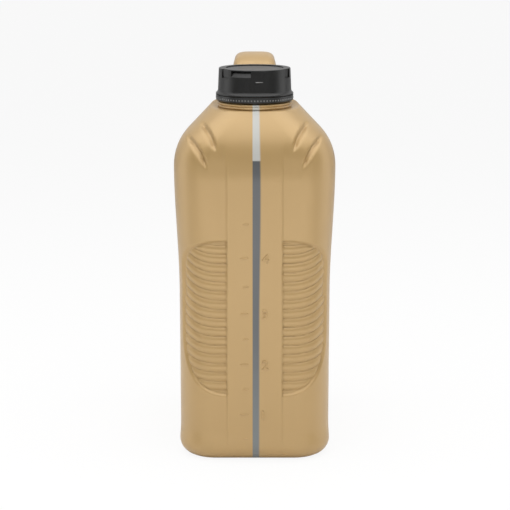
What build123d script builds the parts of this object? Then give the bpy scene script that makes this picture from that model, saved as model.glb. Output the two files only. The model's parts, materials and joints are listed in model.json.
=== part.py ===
# Five-litre blow-moulded oil jug: a hollow bottle with an integral hollow handle, a screw
# cap with its sealing disc, a tamper band left on the neck, and the oil inside.
# The frame is in millimetres: the origin is at the centre of the base, -Y is the narrow
# face under the neck, +Y is the handle side, +Z is up.
import os
from math import cos, pi, radians, sin, sqrt, tan

from build123d import *

os.makedirs("parts", exist_ok=True)

# body
body_depth = 192.0  # along Y
base_half_width = 64.0  # along X, from the heel to the waist
bulge_half_width = 67.6  # at the foot of the shoulder
waist_height = 140.0  # where the sides start to swell towards the bulge
bulge_height = 247.0
corner_radius = 31.0  # vertical corners in plan
heel_radius = 12.0
wall = 1.4
base_recess_depth = 2.0
base_rim_width = 10.0  # standing rim between the heel and the recess

# shoulder and neck seat
shoulder_height = 294.6  # flat seat round the neck
shoulder_radius = 45.0  # side shoulder, from the bulge to the straight slope
shoulder_seat_half_width = 38.5
front_shoulder_radius = 88.0

# rear slope under the handle opening
rear_slope_angle = 22.2  # rises towards the column
column_rear = -22.0  # rear wall of the column that carries the neck
slope_meets_column = 226.0  # height of that corner before it is rounded
rear_edge_blend = 55.0
rear_hollow_blend = 32.0
column_top_lean = 12.0  # how far the column runs back into the handle root
column_lean_start = 252.0

# neck
neck_y = -45.0
neck_outer_radius = 27.0
neck_bore_radius = 24.6
neck_bead_radius = 31.0
neck_bead_pitch = 2.4
neck_bead_width = 1.3  # half height of each bead
mouth_height = 322.0
band_ring_radius = 28.9  # ring on the neck that keeps the band down
band_ring_height = 303.6

# handle
handle_top = 334.0
handle_width = 36.4
handle_thickness = 26.0
handle_corner_radius = 6.5
handle_root_y = -36.0  # start of the bar, inside the column
handle_root_z = 250.0
handle_neck_gap_y = 0.0  # bend that takes the bar up behind the neck
handle_neck_gap_z = 284.0
handle_front_y = 10.0
handle_rear_bend_y = 48.0
handle_rear_bend_z = 276.0
handle_rear_inset = 0.8  # behind the body's rear face
handle_foot_z = 140.0
handle_front_bend_radius = 20.0
handle_rear_bend_radius = 40.0

# cap
cap_top = 327.2
cap_top_radius = 29.8
cap_side_radius = 30.6
cap_flare_radius = 32.3
cap_bottom = 305.7
cap_flare_height = 2.6
cap_wall = 1.8
cap_plate = 3.2
cap_panel_radius = 24.0
cap_panel_depth = 0.7
cap_edge_radius = 0.7
notch_from = -40.0  # degrees round the neck from the front, negative towards -X
notch_to = -6.0
notch_height = 6.2
notch_lip = 0.9
notch_depth = 2.6
slot_angles = (-54.5, 64.0, 184.5)
slot_width = 9.0
slot_height = 7.3
slot_depth = 0.9
mark_angle = 7.5
mark_length = 6.6
mark_height = 0.9
mark_relief = 0.35
mark_z = 318.3

# closure fits
seal_thickness = 1.2
seal_radius = 27.6
seal_gap = 0.1
band_clearance = 0.35
band_height = 4.9
band_cap_gap = 0.6
band_wall = 2.0
band_lip = 0.9  # inward lip under the neck ring

# oil
oil_level = 256.0
oil_gap = 0.3

half_depth = body_depth / 2
rear_slope = tan(radians(rear_slope_angle))
cavity_top = shoulder_height - wall
rear_round_start = slope_meets_column - (half_depth + rear_edge_blend - column_rear) * rear_slope


def soft_min(first, second, blend):
    # the smaller of two values, rounded where they differ by less than blend
    nearness = max(blend - abs(first - second), 0.0) / blend
    return min(first, second) - nearness * nearness * blend / 4


def soft_max(first, second, blend):
    return -soft_min(-first, -second, blend)


def side_at(z):
    # half width: waist, swell to the bulge, then an arc and a straight 45 degree shoulder
    swell = min(max((z - waist_height) / (bulge_height - waist_height), 0.0), 1.0)
    half_width = base_half_width + (bulge_half_width - base_half_width) * swell * swell * (3 - 2 * swell)
    if z > bulge_height:
        rise = min(z - bulge_height, shoulder_radius * sin(pi / 4))
        half_width = bulge_half_width - shoulder_radius + sqrt(shoulder_radius**2 - rise**2)
        half_width -= max(z - bulge_height - rise, 0.0)
    return half_width


def front_at(z):
    # front face: upright, then an arc that ends at the neck seat
    arc_reach = half_depth - (neck_bead_radius - neck_y)
    arc_height = sqrt(front_shoulder_radius**2 - (front_shoulder_radius - arc_reach) ** 2)
    rise = max(z - (shoulder_height - arc_height), 0.0)
    return -half_depth + front_shoulder_radius - sqrt(front_shoulder_radius**2 - rise**2)


def rear_at(z):
    # rear face: upright, rounded over on to the slope, then hollowed up into the column
    slope_line = column_rear + (slope_meets_column - z) / rear_slope
    lean = max(z - column_lean_start, 0.0) / (shoulder_height - column_lean_start)
    column_line = column_rear + column_top_lean * lean * lean
    return soft_min(half_depth, soft_max(column_line, slope_line, rear_hollow_blend), rear_edge_blend)


def steps(low, high, count):
    return [low + (high - low) * index / count for index in range(count + 1)]


def shell_between(skin, low, high, count):
    # rounded rectangles at even heights, each inside the outer surface by the skin
    with BuildPart() as piece:
        for z in steps(low, high, count):
            outer_z = min(z + skin, shoulder_height)
            front = front_at(outer_z) + skin
            rear = rear_at(outer_z) - skin
            half_width = side_at(outer_z) - skin
            with BuildSketch(Plane.XY.offset(z)):
                with Locations((0, (front + rear) / 2)):
                    RectangleRounded(2 * half_width, rear - front, corner_radius - skin)
        loft()
    return piece.part


def heel(skin):
    # quarter-round heel: the plan shrinks along a circle towards the floor
    radius = heel_radius - skin
    with BuildPart() as piece:
        for turn in steps(0, 90, 5):
            inset = skin + radius * (1 - sin(radians(turn)))
            half_width = base_half_width - inset
            with BuildSketch(Plane.XY.offset(skin + radius * (1 - cos(radians(turn))))):
                RectangleRounded(2 * half_width, body_depth - 2 * inset, corner_radius - inset)
        loft()
    return piece.part


def handle_bar(skin):
    # rounded bar swept from the column, over the top and down into the rear of the body
    middle_z = handle_top - handle_thickness / 2
    rear_y = half_depth - handle_rear_inset - handle_thickness / 2
    with BuildPart() as piece:
        with BuildLine(Plane.YZ) as route:
            FilletPolyline(
                (handle_root_y, handle_root_z),
                (handle_neck_gap_y, handle_neck_gap_z),
                (handle_front_y, middle_z),
                (handle_rear_bend_y, middle_z),
                (rear_y, handle_rear_bend_z),
                (rear_y, handle_foot_z),
                radius=[
                    handle_front_bend_radius,
                    handle_front_bend_radius,
                    handle_rear_bend_radius,
                    handle_rear_bend_radius,
                ],
            )
        with BuildSketch(Plane(origin=route.line @ 0, x_dir=(1, 0, 0), z_dir=route.line % 0)):
            RectangleRounded(
                handle_width - 2 * skin,
                handle_thickness - 2 * skin,
                handle_corner_radius - skin,
            )
        sweep(path=route.line)
    return piece.part


def base_pad(grow):
    # raised pad in the middle of the base, so that the jug stands on a rim
    inset = heel_radius + base_rim_width - grow
    with BuildPart() as piece:
        with BuildSketch():
            RectangleRounded(
                2 * (base_half_width - inset),
                body_depth - 2 * inset,
                corner_radius - heel_radius,
            )
        extrude(amount=base_recess_depth + grow)
    return piece.part


def jug(skin, top):
    with BuildPart() as piece:
        add(heel(skin))
        add(shell_between(skin, heel_radius, rear_round_start, 3))
        add(shell_between(skin, rear_round_start, slope_meets_column, 12))
        add(shell_between(skin, slope_meets_column, bulge_height, 4))
        add(shell_between(skin, bulge_height, top, 6))
        add(handle_bar(skin))
        add(base_pad(skin), mode=Mode.SUBTRACT)
    return piece.part


def radial_plane(angle):
    # upright plane through the neck axis, turned from the front towards +X
    turn = radians(angle)
    return Plane(
        origin=(0, neck_y, 0),
        x_dir=(sin(turn), -cos(turn), 0),
        z_dir=(-cos(turn), -sin(turn), 0),
    )


def tangent_plane(angle, radius, z):
    # upright plane that faces out from the neck axis at that radius
    turn = radians(angle)
    return Plane(
        origin=(radius * sin(turn), neck_y - radius * cos(turn), z),
        x_dir=(cos(turn), sin(turn), 0),
        z_dir=(sin(turn), -cos(turn), 0),
    )


neck_axis = Axis((0, neck_y, 0), (0, 0, 1))

# cavity of the bottle, joined to the neck bore
with BuildPart() as cavity:
    add(jug(wall, cavity_top))
    with BuildSketch(Plane.XY.offset(cavity_top - wall)):
        with Locations((0, neck_y)):
            Circle(neck_bore_radius)
    extrude(amount=mouth_height - cavity_top + 2 * wall)

# blow-moulded bottle: one wall from the base to the neck and round the handle
with BuildPart() as bottle:
    add(jug(0.0, shoulder_height))
    with BuildSketch(radial_plane(0)):
        with BuildLine():
            bead_base = shoulder_height - 2 * wall
            first_bead = shoulder_height + neck_bead_width
            second_bead = first_bead + neck_bead_pitch
            Polyline(
                (0, bead_base),
                (neck_bead_radius - neck_bead_width, bead_base),
                (neck_bead_radius - neck_bead_width, shoulder_height),
            )
            ThreePointArc(
                (neck_bead_radius - neck_bead_width, shoulder_height),
                (neck_bead_radius, first_bead),
                (neck_bead_radius - neck_bead_width / 2, first_bead + neck_bead_pitch / 2),
            )
            ThreePointArc(
                (neck_bead_radius - neck_bead_width / 2, first_bead + neck_bead_pitch / 2),
                (neck_bead_radius, second_bead),
                (neck_bead_radius - neck_bead_width, second_bead + neck_bead_width),
            )
            Polyline(
                (neck_bead_radius - neck_bead_width, second_bead + neck_bead_width),
                (neck_outer_radius, second_bead + neck_bead_width),
                (neck_outer_radius, band_ring_height - 1.2),
                (band_ring_radius, band_ring_height - 0.6),
                (band_ring_radius, band_ring_height),
                (neck_outer_radius, band_ring_height + 1.6),
                (neck_outer_radius, mouth_height),
                (0, mouth_height),
                (0, bead_base),
            )
        make_face()
    revolve(axis=neck_axis)
    add(cavity.part, mode=Mode.SUBTRACT)
bottle.part.label = "bottle"
export_step(bottle.part, "parts/bottle.step")
print("bottle", bottle.part.volume / 1000, len(bottle.part.solids()), bottle.part.is_valid)

# oil that fills the jug up to its level, with a hair of room at the wall
with BuildPart() as motor_oil:
    add(jug(wall + oil_gap, cavity_top - oil_gap))
    split(bisect_by=Plane.XY.offset(oil_level), keep=Keep.BOTTOM)
motor_oil.part.label = "motor_oil"
export_step(motor_oil.part, "parts/motor_oil.step")
print("oil", motor_oil.part.volume / 1e6, len(motor_oil.part.solids()), motor_oil.part.is_valid)

# sealing disc that lies on the mouth, inside the cap
seal_bottom = mouth_height + seal_gap
with BuildPart() as sealing_disc:
    with BuildSketch(Plane.XY.offset(seal_bottom)):
        with Locations((0, neck_y)):
            Circle(seal_radius)
    extrude(amount=seal_thickness)
    fillet(sealing_disc.edges(), radius=0.3)
sealing_disc.part.label = "sealing_disc"
export_step(sealing_disc.part, "parts/sealing_disc.step")

# screw cap: skirt with a flared foot, flat rim, sunk top panel
cap_ceiling = seal_bottom + seal_thickness + seal_gap
flare_top = cap_bottom + cap_flare_height
cap_bore_radius = cap_side_radius - cap_wall
with BuildPart() as cap:
    with BuildSketch(radial_plane(0)):
        with BuildLine():
            Polyline(
                (0, cap_ceiling),
                (cap_bore_radius, cap_ceiling),
                (cap_bore_radius, cap_bottom),
                (cap_flare_radius, cap_bottom),
                (cap_flare_radius, cap_bottom + cap_flare_height / 3),
            )
            ThreePointArc(
                (cap_flare_radius, cap_bottom + cap_flare_height / 3),
                (cap_side_radius + 0.55, flare_top - 0.55),
                (cap_side_radius, flare_top + 0.6),
            )
            Polyline(
                (cap_side_radius, flare_top + 0.6),
                (cap_top_radius, cap_top),
                (cap_panel_radius, cap_top),
                (cap_panel_radius, cap_top - cap_panel_depth),
                (0, cap_top - cap_panel_depth),
                (0, cap_ceiling),
            )
        make_face()
    revolve(axis=neck_axis)
    rim = cap.edges().filter_by(GeomType.CIRCLE).group_by(Axis.Z)[-1].sort_by(SortBy.RADIUS)[-1]
    fillet(rim, radius=cap_edge_radius)
    # finger notch under the rim: its wall leans out to meet the skirt at the foot
    with BuildSketch(radial_plane(notch_from)):
        with BuildLine():
            Polyline(
                (cap_top_radius - notch_depth, cap_top - notch_lip),
                (cap_flare_radius, cap_top - notch_lip),
                (cap_flare_radius, cap_top - notch_height),
                (cap_side_radius - 0.4, cap_top - notch_height),
                close=True,
            )
        make_face()
    revolve(axis=neck_axis, revolution_arc=notch_to - notch_from, mode=Mode.SUBTRACT)
    # grip slots down from the rim
    for angle in slot_angles:
        with BuildSketch(tangent_plane(angle, cap_top_radius - slot_depth, cap_top - slot_height / 2)):
            Rectangle(slot_width, slot_height)
        extrude(amount=2 * slot_depth + 1, mode=Mode.SUBTRACT)
    # small raised index mark on the skirt
    with BuildSketch(tangent_plane(mark_angle, cap_top_radius - cap_wall / 2, mark_z)):
        SlotOverall(mark_length, mark_height)
    extrude(amount=cap_wall / 2 + mark_relief)
cap.part.label = "cap"
export_step(cap.part, "parts/cap.step")
print("cap", cap.part.volume / 1000, len(cap.part.solids()), cap.part.is_valid)

# tamper band: stays under the neck ring when the cap first turns
band_top = cap_bottom - band_cap_gap
with BuildPart() as tamper_band:
    with BuildSketch(radial_plane(0)):
        with BuildLine():
            band_inner = band_ring_radius + band_clearance
            lip_inner = band_ring_radius - band_lip
            lip_top = band_ring_height - 1.2 - band_clearance
            Polyline(
                (band_inner, band_top),
                (cap_flare_radius, band_top),
                (cap_flare_radius - 0.1, band_top - band_height + 0.8),
                (cap_flare_radius - 0.9, band_top - band_height),
                (lip_inner, band_top - band_height),
                (lip_inner, lip_top - 0.4),
                (band_inner, lip_top + 0.4),
                close=True,
            )
        make_face()
    revolve(axis=neck_axis)
tamper_band.part.label = "tamper_band"
export_step(tamper_band.part, "parts/tamper_band.step")
print("band", tamper_band.part.volume / 1000, len(tamper_band.part.solids()), tamper_band.part.is_valid)
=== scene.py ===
import json
import math
import bpy
import numpy as np
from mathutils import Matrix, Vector

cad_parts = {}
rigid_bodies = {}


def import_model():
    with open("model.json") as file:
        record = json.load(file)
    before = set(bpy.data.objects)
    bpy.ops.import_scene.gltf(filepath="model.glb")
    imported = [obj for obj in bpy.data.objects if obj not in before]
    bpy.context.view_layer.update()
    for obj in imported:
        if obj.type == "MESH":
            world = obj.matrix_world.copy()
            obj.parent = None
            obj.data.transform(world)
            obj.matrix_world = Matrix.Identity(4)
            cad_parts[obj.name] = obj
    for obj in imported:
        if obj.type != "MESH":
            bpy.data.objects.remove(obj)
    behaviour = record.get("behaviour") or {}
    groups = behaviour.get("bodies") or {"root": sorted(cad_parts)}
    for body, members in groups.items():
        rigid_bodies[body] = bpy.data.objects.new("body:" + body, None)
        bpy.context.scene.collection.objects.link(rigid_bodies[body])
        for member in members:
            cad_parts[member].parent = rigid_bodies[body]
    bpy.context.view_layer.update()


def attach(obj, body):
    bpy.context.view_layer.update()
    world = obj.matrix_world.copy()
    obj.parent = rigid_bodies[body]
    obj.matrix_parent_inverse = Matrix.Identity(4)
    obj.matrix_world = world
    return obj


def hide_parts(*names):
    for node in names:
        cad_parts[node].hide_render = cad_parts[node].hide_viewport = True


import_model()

mm = 0.001

# the jug's own sizes, in millimetres, as the CAD bottle has them
jug = {
    "depth": 192.0, "waist": 64.0, "bulge": 67.6, "waistZ": 140.0, "bulgeZ": 247.0,
    "corner": 31.0, "heel": 12.0, "seatZ": 294.6, "sideRadius": 45.0, "frontRadius": 88.0,
    "slope": math.tan(math.radians(22.2)), "columnRear": -22.0, "slopeMeets": 226.0,
    "rearBlend": 55.0, "hollowBlend": 32.0, "lean": 12.0, "leanStart": 252.0,
    "recess": 2.0, "neckY": -45.0, "beadRadius": 31.0, "neckRadius": 27.0, "ridgeRadius": 28.9,
    "boreRadius": 24.6, "ridgeZ": 302.4, "mouthZ": 322.0, "seatClimb": 4.6, "seatDraw": 0.9,
}
halfDepth = jug["depth"] / 2


# smooth minimum: the smaller value, less a parabola where the two differ by under the blend
def softMin(a, b, blend):
    near = np.maximum(blend - np.abs(a - b), 0) / blend
    return np.minimum(a, b) - near * near * blend / 4


def softMax(a, b, blend):
    return -softMin(-a, -b, blend)


# cubic step from 0 at low to 1 at high
def ramp(value, low, high):
    t = np.clip((value - low) / (high - low), 0, 1)
    return t * t * (3 - 2 * t)


# half width: waist, cubic swell to the bulge, circular arc, then a 45 degree line
def sideAt(z):
    width = jug["waist"] + (jug["bulge"] - jug["waist"]) * ramp(z, jug["waistZ"], jug["bulgeZ"])
    rise = np.clip(z - jug["bulgeZ"], 0, jug["sideRadius"] * math.sin(math.pi / 4))
    width = width - jug["sideRadius"] + np.sqrt(jug["sideRadius"] ** 2 - rise**2)
    return width - np.maximum(z - jug["bulgeZ"] - rise, 0)


# front face: upright, then an arc that leans back to the neck seat
def frontAt(z):
    radius = jug["frontRadius"]
    reach = halfDepth - (jug["beadRadius"] - jug["neckY"])
    height = math.sqrt(radius**2 - (radius - reach) ** 2)
    rise = np.maximum(z - (jug["seatZ"] - height), 0)
    return -halfDepth + radius - np.sqrt(radius**2 - rise**2)


# rear face: upright, rounded on to the slope, hollowed up into the column
def rearAt(z):
    line = jug["columnRear"] + (jug["slopeMeets"] - z) / jug["slope"]
    lean = np.maximum(z - jug["leanStart"], 0) / (jug["seatZ"] - jug["leanStart"])
    column = jug["columnRear"] + jug["lean"] * lean * lean
    hollowed = softMax(column, line, jug["hollowBlend"])
    return softMin(np.full_like(z, halfDepth), hollowed, jug["rearBlend"])


# columns on each stretch of the outline, walked from the back centre
laneCounts = [("rearRight", 8), ("cornerRearRight", 14), ("right", 24),
              ("cornerFrontRight", 54), ("front", 84), ("cornerFrontLeft", 54),
              ("left", 24), ("cornerRearLeft", 14), ("rearLeft", 8)]


# one closed rounded rectangle per row: straight sides and four quarter circles
def outline(halfWidth, front, rear, corner):
    xs, ys = [], []
    c = corner
    for name, count in laneCounts:
        s = np.arange(count) / count
        one = np.ones_like(s)
        if name == "rearRight":
            x, y = (halfWidth - c) * s, rear * one
        elif name == "cornerRearRight":
            x = halfWidth - c + c * np.sin(s * math.pi / 2)
            y = rear - c + c * np.cos(s * math.pi / 2)
        elif name == "right":
            x, y = halfWidth * one, (rear - c) + (front - rear + 2 * c) * s
        elif name == "cornerFrontRight":
            x = halfWidth - c + c * np.cos(s * math.pi / 2)
            y = front + c - c * np.sin(s * math.pi / 2)
        elif name == "front":
            x, y = (halfWidth - c) * (1 - 2 * s), front * one
        elif name == "cornerFrontLeft":
            x = -(halfWidth - c) - c * np.sin(s * math.pi / 2)
            y = front + c - c * np.cos(s * math.pi / 2)
        elif name == "left":
            x, y = -halfWidth * one, (front + c) + (rear - front - 2 * c) * s
        elif name == "cornerRearLeft":
            x = -(halfWidth - c) - c * np.cos(s * math.pi / 2)
            y = rear - c + c * np.sin(s * math.pi / 2)
        else:
            x, y = -(halfWidth - c) * (1 - s), rear * one
        xs.append(x)
        ys.append(y)
    return np.concatenate(xs, axis=1), np.concatenate(ys, axis=1)


# grid of rows by columns, closed round the columns, with an optional pole at each end
def quadMesh(name, grids, closeEnds=(False, False)):
    rows, columns = grids.shape[:2]
    verts = grids.reshape(-1, 3) * mm
    index = np.arange(rows * columns).reshape(rows, columns)
    nextColumn = np.roll(index, -1, axis=1)
    quads = np.stack([index[:-1], nextColumn[:-1], nextColumn[1:], index[1:]], axis=-1)
    faces = quads.reshape(-1, 4).tolist()
    extra = []
    if closeEnds[0]:
        extra.append(verts[index[0]].mean(axis=0))
        pole = len(verts)
        faces += [(pole, int(b), int(a)) for a, b in zip(index[0], nextColumn[0])]
    if closeEnds[1]:
        pole = len(verts) + len(extra)
        extra.append(verts[index[-1]].mean(axis=0))
        faces += [(pole, int(a), int(b)) for a, b in zip(index[-1], nextColumn[-1])]
    if extra:
        verts = np.vstack([verts, extra])
    mesh = bpy.data.meshes.new(name)
    mesh.from_pydata(verts.tolist(), [], faces)
    mesh.update()
    mesh.shade_smooth()
    piece = bpy.data.objects.new(name, mesh)
    bpy.context.scene.collection.objects.link(piece)
    return piece


# relief of the front, in millimetres below the outline
relief = {
    "panelHalf": 23.0, "panelLow": 12.0, "panelHigh": 272.0, "panelSink": 0.85, "flankSink": 1.1,
    "panelFoot": 14.0, "panelFade": 26.0, "panelEdge": 0.4, "behindNeck": 40.0,
    "gripLow": 56.4, "gripHigh": 190.7, "gripOuter": 47.3, "gripTopZ": 165.0, "gripFootZ": 110.0,
    "gripMiddleZ": 140.0, "gripPower": 2.2, "gripDepth": 3.1,
    "ribPitch": 7.75, "ribZero": 178.0, "ribHeight": 2.2, "ribFrom": 27.0, "ribSpan": 43.0,
    "ribPower": 2.1, "ribRiseHigh": 12.5, "ribRiseLow": 5.5,
    "gillDepth": 3.0, "gillLow": 236.0,
}
# each gill as x and z of its start, its bend and its end, on the right half
gillLines = [((44.5, 285.0), (33.0, 279.5), (31.0, 262.5)),
             ((56.0, 274.5), (42.5, 268.0), (38.5, 248.0))]


# inside the grip: millimetres in from its rim, roughly; a superellipse above the middle
# and an ellipse below it, both centred on the panel's edge
def gripInside(s, z):
    power = relief["gripPower"]
    across = np.clip(s - relief["panelHalf"], 0, None) / relief["gripOuter"]
    up = np.clip((z - relief["gripTopZ"]) / (relief["gripHigh"] - relief["gripTopZ"]), 0, None)
    down = np.clip((relief["gripFootZ"] - z) / (relief["gripFootZ"] - relief["gripLow"]), 0, None)
    high = 1 - (across**power + up**power) ** (1 / power)
    low = 1 - np.sqrt(across**2 + down**2)
    reachHigh, reachFoot, reachMiddle = 24, 44, 40
    below = low * np.where(down > 0, reachFoot, reachMiddle)
    return np.where(z > relief["gripMiddleZ"], high * reachHigh, below)


# ribs: half-round pillows at the pitch, bent upwards towards the corner of the jug
def ribs(s, z):
    reach = np.clip((s - relief["ribFrom"]) / relief["ribSpan"], 0, 1.3)
    more = (relief["ribRiseHigh"] - relief["ribRiseLow"]) * ramp(z, 60, relief["gripTopZ"])
    rise = relief["ribRiseLow"] + more
    phase = (z - rise * reach ** relief["ribPower"] - relief["ribZero"]) / relief["ribPitch"]
    across = 2 * (phase - np.floor(phase)) - 1
    return relief["ribHeight"] * np.sqrt(np.clip(1 - across**2, 0, 1))


# shoulder groove along a bent line, a quadratic Bezier curve: one steep wall and one that
# eases out over the width, which swells and closes like a sine
def gill(x, z, start, bend, end):
    t = np.linspace(0, 1, 60)
    px = (1 - t) ** 2 * start[0] + 2 * t * (1 - t) * bend[0] + t**2 * end[0]
    pz = (1 - t) ** 2 * start[1] + 2 * t * (1 - t) * bend[1] + t**2 * end[1]
    tx, tz = np.gradient(px), np.gradient(pz)
    length = np.hypot(tx, tz)
    gap = np.hypot(x[..., None] - px, z[..., None] - pz)
    nearest = gap.argmin(axis=-1)
    crossed = (z - pz[nearest]) * tx[nearest] - (x - px[nearest]) * tz[nearest]
    outward = crossed / length[nearest]
    along = t[nearest]
    width = 1.5 + 4.5 * np.sin(np.pi * np.clip(along, 0, 1)) ** 0.8
    wall = ramp(outward, -1.0, 0.3) * (1 - ramp(outward, 0.3, width))
    ends = ramp(along, 0.0, 0.18) * (1 - ramp(along, 0.72, 1.0))
    near = gap.min(axis=-1) < width + 1.5
    return relief["gillDepth"] * wall * ends * near


# depth below the outline: middle panel and flanks, then the grips with their ribs, then
# the gills; s is the distance round the outline from the front centre
def frontRelief(s, x, z):
    s = np.abs(s)
    x = np.abs(x)
    rising = ramp(z, relief["panelLow"], relief["panelLow"] + relief["panelFoot"])
    fade = rising * (1 - ramp(z, relief["panelHigh"] - relief["panelFade"], relief["panelHigh"]))
    edge = relief["panelEdge"]
    flank = ramp(s, relief["panelHalf"] - edge, relief["panelHalf"] + edge)
    away = 1 - ramp(s, 60, 100)
    sink = (relief["panelSink"] + relief["flankSink"] * flank) * fade * away
    inside = gripInside(s, z)
    floor = ramp(inside, 0.0, 3.2) * flank
    sink = sink + floor * relief["gripDepth"] - ramp(inside, 1.8, 3.2) * flank * ribs(s, z)
    high = z > relief["gillLow"]
    sink[high] += sum(gill(x[high], z[high], *line) for line in gillLines)
    return sink


# jug: rows of outlines from the heel to the neck seat, pushed in by the relief, with the
# base below them and the neck's circles above
def makeJug():
    heelTurn = np.linspace(0, math.pi / 2, 9)
    heelZ = jug["heel"] * (1 - np.cos(heelTurn))
    heelInset = jug["heel"] * (1 - np.sin(heelTurn))
    # the rows lie closest where the grips and the gills are
    stretches = [(jug["heel"], 54, 18), (54, 194, 184), (194, 244, 30), (244, jug["seatZ"], 54)]
    upZ = np.concatenate([np.linspace(low, high, count)[1:] for low, high, count in stretches])
    z = np.concatenate([heelZ, upZ])[:, None]
    inset = np.concatenate([heelInset, np.zeros_like(upZ)])[:, None]
    front, rear, half = frontAt(z) + inset, rearAt(z) - inset, sideAt(z) - inset
    x, y = outline(half, front, rear, jug["corner"] - inset)
    zz = np.broadcast_to(z, x.shape).copy()
    # distance round the outline from the front centre
    middle = sum(count for name, count in laneCounts) // 2
    stepX, stepY = (np.diff(v, axis=1, append=v[:, :1]) for v in (x, y))
    step = np.hypot(stepX, stepY)
    run = np.cumsum(step, axis=1) - step
    s = run[:, middle][:, None] - run
    # outward normal from the two grid directions
    grid = np.stack([x, y, zz], axis=-1)
    across = np.roll(grid, -1, axis=1) - np.roll(grid, 1, axis=1)
    upward = np.gradient(grid, axis=0)
    normal = np.cross(across, upward)
    normal /= np.linalg.norm(normal, axis=-1, keepdims=True) + 1e-12
    if normal[len(z) // 2, middle, 1] > 0:
        normal = -normal
    sink = frontRelief(s, x, zz) * (y < jug["neckY"] + relief["behindNeck"])
    grid = grid - normal * sink[..., None]
    # the seat climbs behind the neck towards the handle root, and draws in as it does
    backward = ramp(grid[..., 1], jug["neckY"] - 25, jug["neckY"] + 25)
    climb = jug["seatClimb"] * backward * ramp(grid[..., 2], jug["seatZ"] - 22.6, jug["seatZ"])
    grid[..., 2] += climb
    outwards = np.sign(grid[..., 0]) * ramp(np.abs(grid[..., 0]), 6, 20)
    grid[..., 0] -= climb * jug["seatDraw"] * outwards
    # base: the foot, then the recess up to its pole
    recess = jug["recess"]
    base = []
    for inward, height in ((6.0, 0.0), (9.6, 0.15), (11.2, recess - 0.3), (14.0, recess), (34.0, recess)):
        corner = np.full((1, 1), max(jug["corner"] - jug["heel"] - inward, 4.0))
        bx, by = outline(half[:1] - inward, front[:1] + inward, rear[:1] - inward, corner)
        base.insert(0, np.stack([bx, by, np.full_like(bx, height)], axis=-1)[0])
    # seat and neck: the last outline drawn in to circles round the neck axis
    turn = np.arctan2(x[-1], y[-1] - jug["neckY"])
    # two beads on the seat, as radius past the bead's own and height above the seat
    beads = [(-0.9, -0.25), (-1.5, -0.1), (-1.3, 0.35), (-0.45, 0.7), (0, 1.3), (-0.3, 1.9),
             (-0.9, 2.4), (-1.0, 2.6), (-0.2, 3.0), (0.1, 3.7), (-0.2, 4.3), (-1.0, 4.9)]
    profile = [(jug["beadRadius"] + past, jug["seatZ"] + up) for past, up in beads]
    # neck wall, the ridge that the band catches on, the lip, and the bore
    wall, ridge, bore = jug["neckRadius"], jug["ridgeRadius"], jug["boreRadius"]
    seat, ridgeZ, mouth = jug["seatZ"], jug["ridgeZ"], jug["mouthZ"]
    profile += [(wall + 0.4, seat + 5.0), (wall, seat + 5.2), (wall, ridgeZ),
                (ridge, ridgeZ + 0.6), (ridge, ridgeZ + 1.2), (wall, ridgeZ + 2.8),
                (wall, mouth - 0.5), (wall - 0.5, mouth), (bore + 0.5, mouth),
                (bore, mouth - 0.5), (bore, seat + 1.4), (bore, seat - 1.2)]
    neck = [np.stack([radius * np.sin(turn), jug["neckY"] + radius * np.cos(turn),
                      np.full_like(turn, height)], axis=-1) for radius, height in profile]
    grid = np.concatenate([np.array(base), grid, np.array(neck)])
    return quadMesh("jug_shell", grid[:, ::-1], closeEnds=(True, False))


# handle: the route as y and z of its corners, and the radius of each bend
handle = {
    "top": 334.0, "width": 36.4, "thick": 26.0, "power": 4.4, "tuck": 11.0,
    "route": [(-36, 250), (0, 284), (10, 321), (48, 321), (82.2, 276), (82.2, 140)],
    "bends": [20, 20, 40, 40], "points": 190, "sides": 72, "smoothing": 9,
    "footSwell": 0.42, "footDeepen": 0.35, "footReach": 14.0,
    "rootSwell": 0.3, "rootDeepen": 0.3, "rootReach": 8.0,
}


# route: each corner is replaced by a circle arc tangent to both runs
def bentRoute(points, radii):
    path = [np.array(points[0], float)]
    for corner, radius in zip(range(1, len(points) - 1), radii):
        p, a, b = (np.array(points[k], float) for k in (corner, corner - 1, corner + 1))
        u, v = (a - p) / np.linalg.norm(a - p), (b - p) / np.linalg.norm(b - p)
        half = math.acos(np.clip(u @ v, -1, 1)) / 2
        reach = radius / math.tan(half)
        centre = p + (u + v) / np.linalg.norm(u + v) * radius / math.sin(half)
        start, end = p + u * reach - centre, p + v * reach - centre
        sweep = math.acos(np.clip(start @ end / radius**2, -1, 1))
        for t in np.linspace(0, 1, 14):
            turned = math.sin((1 - t) * sweep) * start + math.sin(t * sweep) * end
            path.append(centre + turned / math.sin(sweep))
    path.append(np.array(points[-1], float))
    path = np.array(path)
    run = np.concatenate([[0], np.cumsum(np.linalg.norm(np.diff(path, axis=0), axis=1))])
    even = np.linspace(0, run[-1], handle["points"])
    path = np.stack([np.interp(even, run, path[:, k]) for k in range(2)], axis=-1)
    # a moving average takes the last stiffness out of the bends
    reach = handle["smoothing"]
    before, after = (np.repeat(end, reach, axis=0) for end in (path[:1], path[-1:]))
    padded = np.concatenate([before, path, after])
    window = np.hanning(2 * reach + 3)[1:-1]
    window /= window.sum()
    smooth = np.stack([np.convolve(padded[:, k], window, "valid") for k in range(2)], axis=-1)
    # lift the top run back to its height, and tuck the lower end into the wall
    short = handle["top"] - handle["thick"] / 2 - smooth[:, 1].max()
    smooth[:, 1] += short * ramp(smooth[:, 1], 260, 300)
    smooth[:, 0] -= handle["tuck"] * (smooth[:, 0] > 50) * (1 - ramp(smooth[:, 1], 146, 196))
    return smooth


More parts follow.
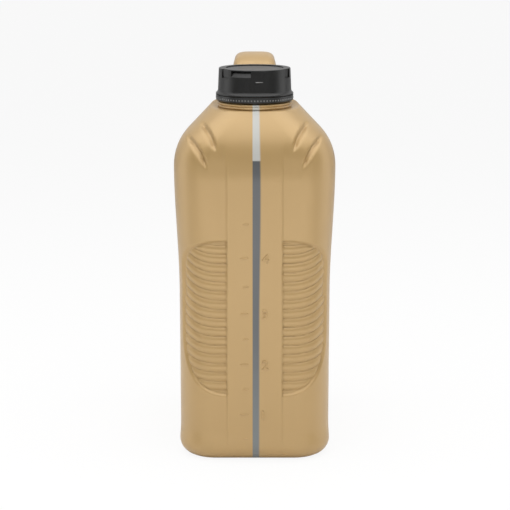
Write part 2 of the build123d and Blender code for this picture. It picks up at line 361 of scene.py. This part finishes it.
# handle: a superellipse section carried along the route
def makeHandle():
    path = bentRoute(handle["route"], handle["bends"])
    along = np.gradient(path, axis=0)
    along /= np.linalg.norm(along, axis=1, keepdims=True)
    out = np.stack([-along[:, 1], along[:, 0]], axis=-1)
    angle = np.arange(handle["sides"]) / handle["sides"] * 2 * np.pi
    power = 2 / handle["power"]
    cx = np.sign(np.cos(angle)) * np.abs(np.cos(angle)) ** power
    cn = np.sign(np.sin(angle)) * np.abs(np.sin(angle)) ** power
    # widen the bar where it runs into the jug, so that it grows out of the wall
    y, z = path[:, 0], path[:, 1]
    slopeGap = z - (jug["slopeMeets"] - (y - jug["columnRear"]) * jug["slope"])
    columnGap = y - rearAt(z) + 6
    foot = np.where(y > 60, np.exp(-np.clip(slopeGap, 0, None) / handle["footReach"]), 0)
    root = np.where(y < 20, np.exp(-np.clip(columnGap, 0, None) / handle["rootReach"]), 0)
    wide = handle["width"] / 2 * (1 + handle["footSwell"] * foot + handle["rootSwell"] * root)
    # the outer face is a little narrower than the grip side
    taper = 1 - 0.05 * (cn > 0) * cn
    x = wide[:, None] * cx * taper
    inward = (cn < 0) * (handle["footDeepen"] * foot + handle["rootDeepen"] * root)[:, None]
    n = handle["thick"] / 2 * cn * (1 + inward)
    y = np.minimum(y[:, None] + out[:, :1] * n, halfDepth - 0.6)
    z = z[:, None] + out[:, 1:] * n
    return quadMesh("jug_handle", np.stack([x, y, z], axis=-1), closeEnds=(True, True))


# shader maths as expressions: a socket whose operators add Math nodes
class Wire:
    def __init__(self, tree, socket):
        self.tree, self.socket = tree, socket

    def node(self, kind, settings=None, **values):
        made = self.tree.nodes.new(kind)
        for key, value in (settings or {}).items():
            setattr(made, key, value)
        for key, value in values.items():
            # i0, i1 and so on are sockets by number, any other key is a socket's name
            numbered = key[0] == "i" and key[1:].isdigit()
            target = made.inputs[int(key[1:]) if numbered else key.replace("_", " ")]
            if isinstance(value, Wire):
                self.tree.links.new(value.socket, target)
            else:
                target.default_value = value
        return made

    def math(self, operation, *others):
        values = {"i%d" % (k + 1): v for k, v in enumerate(others)}
        made = self.node("ShaderNodeMath", {"operation": operation}, i0=self, **values)
        return Wire(self.tree, made.outputs[0])

    def __add__(self, other):
        return self.math("ADD", other)

    def __mul__(self, other):
        return self.math("MULTIPLY", other)

    def __sub__(self, other):
        return self.math("SUBTRACT", other)

    def __rsub__(self, other):
        return (self * -1) + other

    __radd__, __rmul__ = __add__, __mul__

    def step(self, low, high):
        settings = {"interpolation_type": "SMOOTHSTEP", "clamp": True}
        made = self.node("ShaderNodeMapRange", settings, i0=self, i1=low, i2=high)
        return Wire(self.tree, made.outputs[0])


def newMaterial(name):
    material = bpy.data.materials.new(name)
    material.use_nodes = True
    tree = material.node_tree
    shader = tree.nodes["Principled BSDF"]
    coords = tree.nodes.new("ShaderNodeTexCoord")
    return material, shader, Wire(tree, coords.outputs["Object"])


def noise(place, scale, detail=3.0):
    made = place.node("ShaderNodeTexNoise", None, Vector=place, Scale=scale, Detail=detail)
    return Wire(place.tree, made.outputs["Fac"])


def mixColor(factor, first, second):
    made = factor.node("ShaderNodeMix", {"data_type": "RGBA"}, i0=factor)
    for socket, value in ((6, first), (7, second)):
        if isinstance(value, Wire):
            factor.tree.links.new(value.socket, made.inputs[socket])
        else:
            made.inputs[socket].default_value = (*value, 1)
    return Wire(factor.tree, made.outputs[2])


def addBump(place, shader, height, strength, distance):
    made = place.node("ShaderNodeBump", None, Height=height, Strength=strength, Distance=distance)
    place.tree.links.new(made.outputs[0], shader.inputs["Normal"])


def plug(value, shader, name):
    value.tree.links.new(value.socket, shader.inputs[name])


gold = {"base": (0.50, 0.325, 0.128), "deep": (0.46, 0.295, 0.112), "roughness": 0.36,
        "metallic": 0.25, "coat": 0.7, "coatRoughness": 0.42}
# the clear stripe down the front: its edges in x, its colours with oil behind it and without, and the oil
# painted lighter near the floor as painted bounce light
stripe = {"left": -1.7, "right": 3.5, "swell": 1.0, "oilZ": 256.0, "topZ": 299.6, "backY": -68.0,
          "clear": (0.50, 0.50, 0.47), "oil": (0.085, 0.09, 0.095), "oilFloorLit": (0.17, 0.185, 0.185)}


def goldPlastic():
    material, shader, place = newMaterial("goldPlastic")
    parts = place.node("ShaderNodeSeparateXYZ", None, Vector=place)
    x, y, z = (Wire(place.tree, parts.outputs[k]) for k in range(3))
    flake = noise(place, 2600.0, 2.0)
    cloud = noise(place, 14.0, 3.0)
    body = mixColor(cloud * 0.6 + flake * 0.4, gold["deep"], gold["base"])
    # the left edge is sharp and the right one soft, a little wider near the shoulder
    swell = z.step(120 * mm, 225 * mm) * (1 - z.step(235 * mm, 300 * mm)) * stripe["swell"] * mm
    left, right = stripe["left"], stripe["right"]
    fromLeft = x.step((left - 0.15) * mm, (left + 0.15) * mm)
    toRight = 1 - (x - swell).step((right - 0.6) * mm, (right + 1.3) * mm)
    inFront = 1 - y.step((stripe["backY"] - 2) * mm, (stripe["backY"] + 2) * mm)
    belowNeck = 1 - z.step((stripe["topZ"] - 0.2) * mm, (stripe["topZ"] + 0.2) * mm)
    inStripe = fromLeft * toRight * inFront * belowNeck
    filled = 1 - z.step((stripe["oilZ"] - 0.6) * mm, (stripe["oilZ"] + 0.6) * mm)
    # painted bounce light: the oil is lighter towards the floor, fading into the dark oil by 130 mm
    oilWithFloorLight = mixColor(z.step(10 * mm, 130 * mm), stripe["oilFloorLit"], stripe["oil"])
    band = mixColor(filled, stripe["clear"], oilWithFloorLight)
    plug(mixColor(inStripe, body, band), shader, "Base Color")
    plug((1 - inStripe) * gold["metallic"], shader, "Metallic")
    plug(gold["roughness"] + cloud * 0.05 - inStripe * 0.08, shader, "Roughness")
    shader.inputs["Coat Weight"].default_value = gold["coat"]
    shader.inputs["Coat Roughness"].default_value = gold["coatRoughness"]
    addBump(place, shader, noise(place, 700.0, 2.0), 0.06, 0.0004)
    return material


black = {"base": (0.005, 0.005, 0.0046), "roughness": 0.27}


def blackPlastic():
    material, shader, place = newMaterial("blackPlastic")
    cloud = noise(place, 90.0, 4.0)
    worn = tuple(1.5 * c for c in black["base"])
    plug(mixColor(cloud, black["base"], worn), shader, "Base Color")
    plug(black["roughness"] + cloud * 0.12, shader, "Roughness")
    addBump(place, shader, noise(place, 1500.0, 2.0), 0.12, 0.0003)
    return material


def oilMaterial():
    material, shader, place = newMaterial("amberOil")
    plug(mixColor(noise(place, 20.0), (0.30, 0.13, 0.02), (0.36, 0.16, 0.03)), shader, "Base Color")
    shader.inputs["Roughness"].default_value = 0.08
    return material


def foamMaterial():
    material, shader, place = newMaterial("sealFoam")
    plug(mixColor(noise(place, 400.0), (0.78, 0.78, 0.74), (0.86, 0.86, 0.83)), shader, "Base Color")
    shader.inputs["Roughness"].default_value = 0.7
    return material


goldMaterial, blackMaterial = goldPlastic(), blackPlastic()
print("materials made")

shell = makeJug()
shell.data.materials.append(goldMaterial)
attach(shell, "jug")
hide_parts("bottle")


# oil seen as a solid inside the wall: the jug's own outline, drawn in, up to the level
def makeOil():
    inset = 6.0
    z = np.concatenate([np.linspace(7, 150, 8), np.linspace(158, 252, 20)])[:, None]
    outerZ = z + inset
    corner = np.full_like(z, jug["corner"] - inset)
    x, y = outline(sideAt(outerZ) - inset, frontAt(outerZ) + inset, rearAt(outerZ) - inset, corner)
    grid = np.stack([x, y, np.broadcast_to(z, x.shape)], axis=-1)
    return quadMesh("oil_fill", grid[:, ::-1], closeEnds=(True, True))


grip = makeHandle()
grip.data.materials.append(goldMaterial)
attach(grip, "jug")
fill = makeOil()
fill.data.materials.append(oilMaterial())
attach(fill, "jug")
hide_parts("motor_oil")
print("jug made", len(shell.data.polygons), len(grip.data.polygons))

# litre marks: low rounded bars and digits on the front panel
marks = {"z": [20.0, 41.2, 63.2, 85.1, 106.7, 128.4, 151.2, 175.5, 203.9],
         "longFrom": -12.0, "shortFrom": -9.6, "to": -4.8, "rise": 0.75, "half": 0.6, "root": 0.1,
         "digitX": 6.2, "digitSize": 10.8, "digitDrop": 4.6, "digitRound": 0.55, "digitThin": 0.25}


# dash: a half-superellipse ridge along X, lying on the panel
def makeDash(name, low, high, z):
    u = np.linspace(0, 1, 13)
    v = np.linspace(0, math.pi, 9)
    middle, reach = (low + high) / 2, (high - low) / 2
    spread = np.sqrt(np.clip(1 - np.abs(2 * u - 1) ** 6, 0, 1))[:, None]
    x = middle + reach * (2 * u[:, None] - 1) + 0 * v
    zz = z + marks["half"] * spread * np.cos(v)
    root = marks["root"]  # how far the bar reaches into the panel
    y = -halfDepth + relief["panelSink"] + root - (marks["rise"] + root) * spread * np.sin(v)
    grid = np.stack([x, y + 0 * x, zz + 0 * x], axis=-1)
    return quadMesh(name, grid, closeEnds=(True, True))


for number, z in enumerate(marks["z"]):
    start = marks["longFrom"] if number % 2 else marks["shortFrom"]
    dash = makeDash("litre_dash_%d" % (number + 1), start, marks["to"], z)
    dash.data.materials.append(goldMaterial)
    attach(dash, "jug")

for digit in range(1, 5):
    curve = bpy.data.curves.new("digit", "FONT")
    curve.body = str(digit)
    curve.size = marks["digitSize"] * mm
    curve.offset = -marks["digitThin"] * mm
    curve.extrude = marks["digitThin"] * mm
    curve.bevel_depth = marks["digitRound"] * mm
    curve.bevel_resolution = 2
    source = bpy.data.objects.new("digit", curve)
    bpy.context.scene.collection.objects.link(source)
    bpy.context.view_layer.update()
    ready = source.evaluated_get(bpy.context.evaluated_depsgraph_get())
    mesh = bpy.data.meshes.new_from_object(ready)
    bpy.data.objects.remove(source)
    points = np.empty(len(mesh.vertices) * 3)
    mesh.vertices.foreach_get("co", points)
    points = points.reshape(-1, 3)
    # stood up on the panel, with its foot just under the dash of its litre
    flat = points.copy()
    foot = marks["z"][2 * digit - 1] - marks["digitDrop"]
    flat[:, 0] = points[:, 0] - points[:, 0].min() + marks["digitX"] * mm
    flat[:, 2] = points[:, 1] - points[:, 1].min() + foot * mm
    flat[:, 1] = (-halfDepth + relief["panelSink"]) * mm - points[:, 2]
    mesh.vertices.foreach_set("co", flat.ravel())
    mesh.update()
    text = bpy.data.objects.new("litre_digit_%d" % digit, mesh)
    bpy.context.scene.collection.objects.link(text)
    text.data.materials.clear()
    text.data.materials.append(goldMaterial)
    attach(text, "jug")
print("marks made")

bridges = {"count": 78, "radius": 32.05, "low": 302.0, "high": 303.2, "half": 0.6,
           "halfDeep": 0.35, "outerShare": 0.7}


# bridges between the band and the cap: a ring of small posts, narrower on the outside
def makeBridges():
    turn = np.arange(bridges["count"]) / bridges["count"] * 2 * np.pi
    verts, faces = [], []
    shape = [(-1, -1), (1, -1), (1, 1), (-1, 1)]
    for k, a in enumerate(turn):
        for level in (bridges["low"], bridges["high"]):
            for du, dr in shape:
                radius = bridges["radius"] + bridges["halfDeep"] * dr
                side = bridges["half"] * du * (1.0 if dr < 0 else bridges["outerShare"])
                verts.append(((radius * math.sin(a) + side * math.cos(a)) * mm,
                              (jug["neckY"] - radius * math.cos(a) + side * math.sin(a)) * mm, level * mm))
        n = 8 * k
        faces += [(n, n + 3, n + 2, n + 1), (n + 4, n + 5, n + 6, n + 7)]
        faces += [(n + i, n + j, n + 4 + j, n + 4 + i) for i, j in ((0, 1), (1, 2), (2, 3), (3, 0))]
    mesh = bpy.data.meshes.new("band_bridges")
    mesh.from_pydata(verts, [], faces)
    mesh.update()
    piece = bpy.data.objects.new("band_bridges", mesh)
    bpy.context.scene.collection.objects.link(piece)
    return piece


posts = makeBridges()
# the posts are black plastic like the band: their grey is painted highlight, and the index bar on the cap
# takes the same painted highlight
greyHighlightMaterial, bridgeShader, bridgePlace = newMaterial("paintedHighlightGrey")
highlightGrey = mixColor(noise(bridgePlace, 300.0), (0.16, 0.16, 0.157), (0.24, 0.24, 0.235))
plug(highlightGrey, bridgeShader, "Base Color")
bridgeShader.inputs["Roughness"].default_value = 0.3
posts.data.materials.append(greyHighlightMaterial)
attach(posts, "jug")

# index mark: a low rounded bar wrapped on the skirt, thinner towards its right end
mark = {"from": 1.0, "to": 14.0, "z": 317.6, "half": 0.5, "radius": 30.1, "rise": 0.55, "thinning": 0.55}


# half-superellipse ridge swept round the neck axis
def makeMark():
    u = np.linspace(0, 1, 17)[:, None]
    v = np.linspace(0, math.pi, 9)[None, :]
    spread = np.sqrt(np.clip(1 - np.abs(2 * u - 1) ** 5, 0, 1)) * (1 - mark["thinning"] * u)
    angle = np.radians(mark["from"] + (mark["to"] - mark["from"]) * u) + 0 * v
    radius = mark["radius"] + mark["rise"] * spread * np.sin(v)
    z = mark["z"] + mark["half"] * spread * np.cos(v)
    grid = np.stack([radius * np.sin(angle), jug["neckY"] - radius * np.cos(angle), z], axis=-1)
    return quadMesh("cap_index", grid, closeEnds=(True, True))


index = makeMark()
# grey here is painted highlight on the black bar
index.data.materials.append(greyHighlightMaterial)
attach(index, "closure")

# the CAD's own cap, band and disc keep their meshes and take new plastics
nodeMaterials = {"cap": blackMaterial, "tamper_band": blackMaterial, "sealing_disc": foamMaterial()}
for name, material in nodeMaterials.items():
    for obj in bpy.data.objects:
        if obj.type == "MESH" and obj.name.split(".")[0] == name:
            for slotIndex in range(len(obj.material_slots)):
                obj.material_slots[slotIndex].material = material
            if not obj.material_slots:
                obj.data.materials.append(material)
print("closure finished")

# studio: pale floor, white world for the camera, soft lamps
studio = {"floorHalf": 40.0, "floorGrey": 0.9, "floorGlow": 0.9, "roomDim": 0.03,
          "roomAbove": 0.35, "roomBehind": 0.6}
half = studio["floorHalf"]
floorMesh = bpy.data.meshes.new("floor")
corners = [(-half, -half, 0), (half, -half, 0), (half, half, 0), (-half, half, 0)]
floorMesh.from_pydata(corners, [], [(0, 1, 2, 3)])
floor = bpy.data.objects.new("floor", floorMesh)
bpy.context.scene.collection.objects.link(floor)
floorMaterial = bpy.data.materials.new("floorWhite")
floorMaterial.use_nodes = True
tree = floorMaterial.node_tree
floorShader = tree.nodes["Principled BSDF"]
floorShader.inputs["Base Color"].default_value = (*[studio["floorGrey"]] * 3, 1)
floorShader.inputs["Roughness"].default_value = 0.6
floorShader.inputs["Specular IOR Level"].default_value = 0.15
rays = tree.nodes.new("ShaderNodeLightPath")
glow = tree.nodes.new("ShaderNodeEmission")
glow.inputs["Strength"].default_value = 1.0
blend = tree.nodes.new("ShaderNodeMixShader")
share = Wire(tree, rays.outputs["Is Camera Ray"]) * studio["floorGlow"]
tree.links.new(share.socket, blend.inputs[0])
tree.links.new(floorShader.outputs[0], blend.inputs[1])
tree.links.new(glow.outputs[0], blend.inputs[2])
tree.links.new(blend.outputs[0], tree.nodes["Material Output"].inputs[0])
floorMesh.materials.append(floorMaterial)

world = bpy.data.worlds.new("studio")
bpy.context.scene.world = world
world.use_nodes = True
wTree = world.node_tree
ray = wTree.nodes.new("ShaderNodeLightPath")
backdrop = wTree.nodes["Background"]
backdrop.inputs["Color"].default_value = (1, 1, 1, 1)
# the room: bright above and behind, dim in front, white to the camera
direction = wTree.nodes.new("ShaderNodeTexCoord")
skyward = Wire(wTree, direction.outputs["Generated"])
apart = skyward.node("ShaderNodeSeparateXYZ", None, Vector=skyward)
height = Wire(wTree, apart.outputs[2])
behind = Wire(wTree, apart.outputs[1])
room = studio["roomDim"] + height.step(0.1, 0.9) * studio["roomAbove"]
room = room + behind.step(0.1, 0.8) * studio["roomBehind"]
seen = Wire(wTree, ray.outputs["Is Camera Ray"])
strength = seen + (1 - seen) * room
wTree.links.new(strength.socket, backdrop.inputs["Strength"])


def lookingAt(place, aim):
    return (Vector(aim) - Vector(place)).to_track_quat("-Z", "Y").to_euler()


# area lamp: its size in metres and its power in watts
def softLamp(name, place, aim, width, height, power):
    data = bpy.data.lights.new(name, "AREA")
    data.shape, data.size, data.size_y, data.energy = "RECTANGLE", width, height, power
    lamp = bpy.data.objects.new(name, data)
    bpy.context.scene.collection.objects.link(lamp)
    lamp.location = place
    lamp.visible_camera = False
    lamp.rotation_euler = lookingAt(place, aim)


softLamp("topLamp", (0, -0.55, 1.25), (0, -0.5499, 0.0), 2.2, 1.7, 21)
softLamp("floorBounce", (0, -0.75, 0.02), (0, -0.1, 0.06), 1.4, 0.25, 1.6)
softLamp("leftLamp", (-1.4, 0.1, 0.6), (0, 0, 0.2), 0.8, 1.4, 4)
softLamp("rightLamp", (1.4, 0.1, 0.6), (0, 0, 0.2), 0.8, 1.4, 4)

view = {"place": (0.0, -1.3396, 0.4497), "aim": (0.0, -0.065, 0.1718), "lens": 109.6, "shift": 0.0007}
camera = bpy.data.objects.new("camera", bpy.data.cameras.new("camera"))
bpy.context.scene.collection.objects.link(camera)
camera.data.lens = view["lens"]
camera.data.sensor_width = 36
camera.data.shift_x = view["shift"]
camera.location = view["place"]
camera.rotation_euler = lookingAt(view["place"], view["aim"])
bpy.context.scene.camera = camera
bpy.context.scene.view_settings.view_transform = "Standard"
print("studio set")
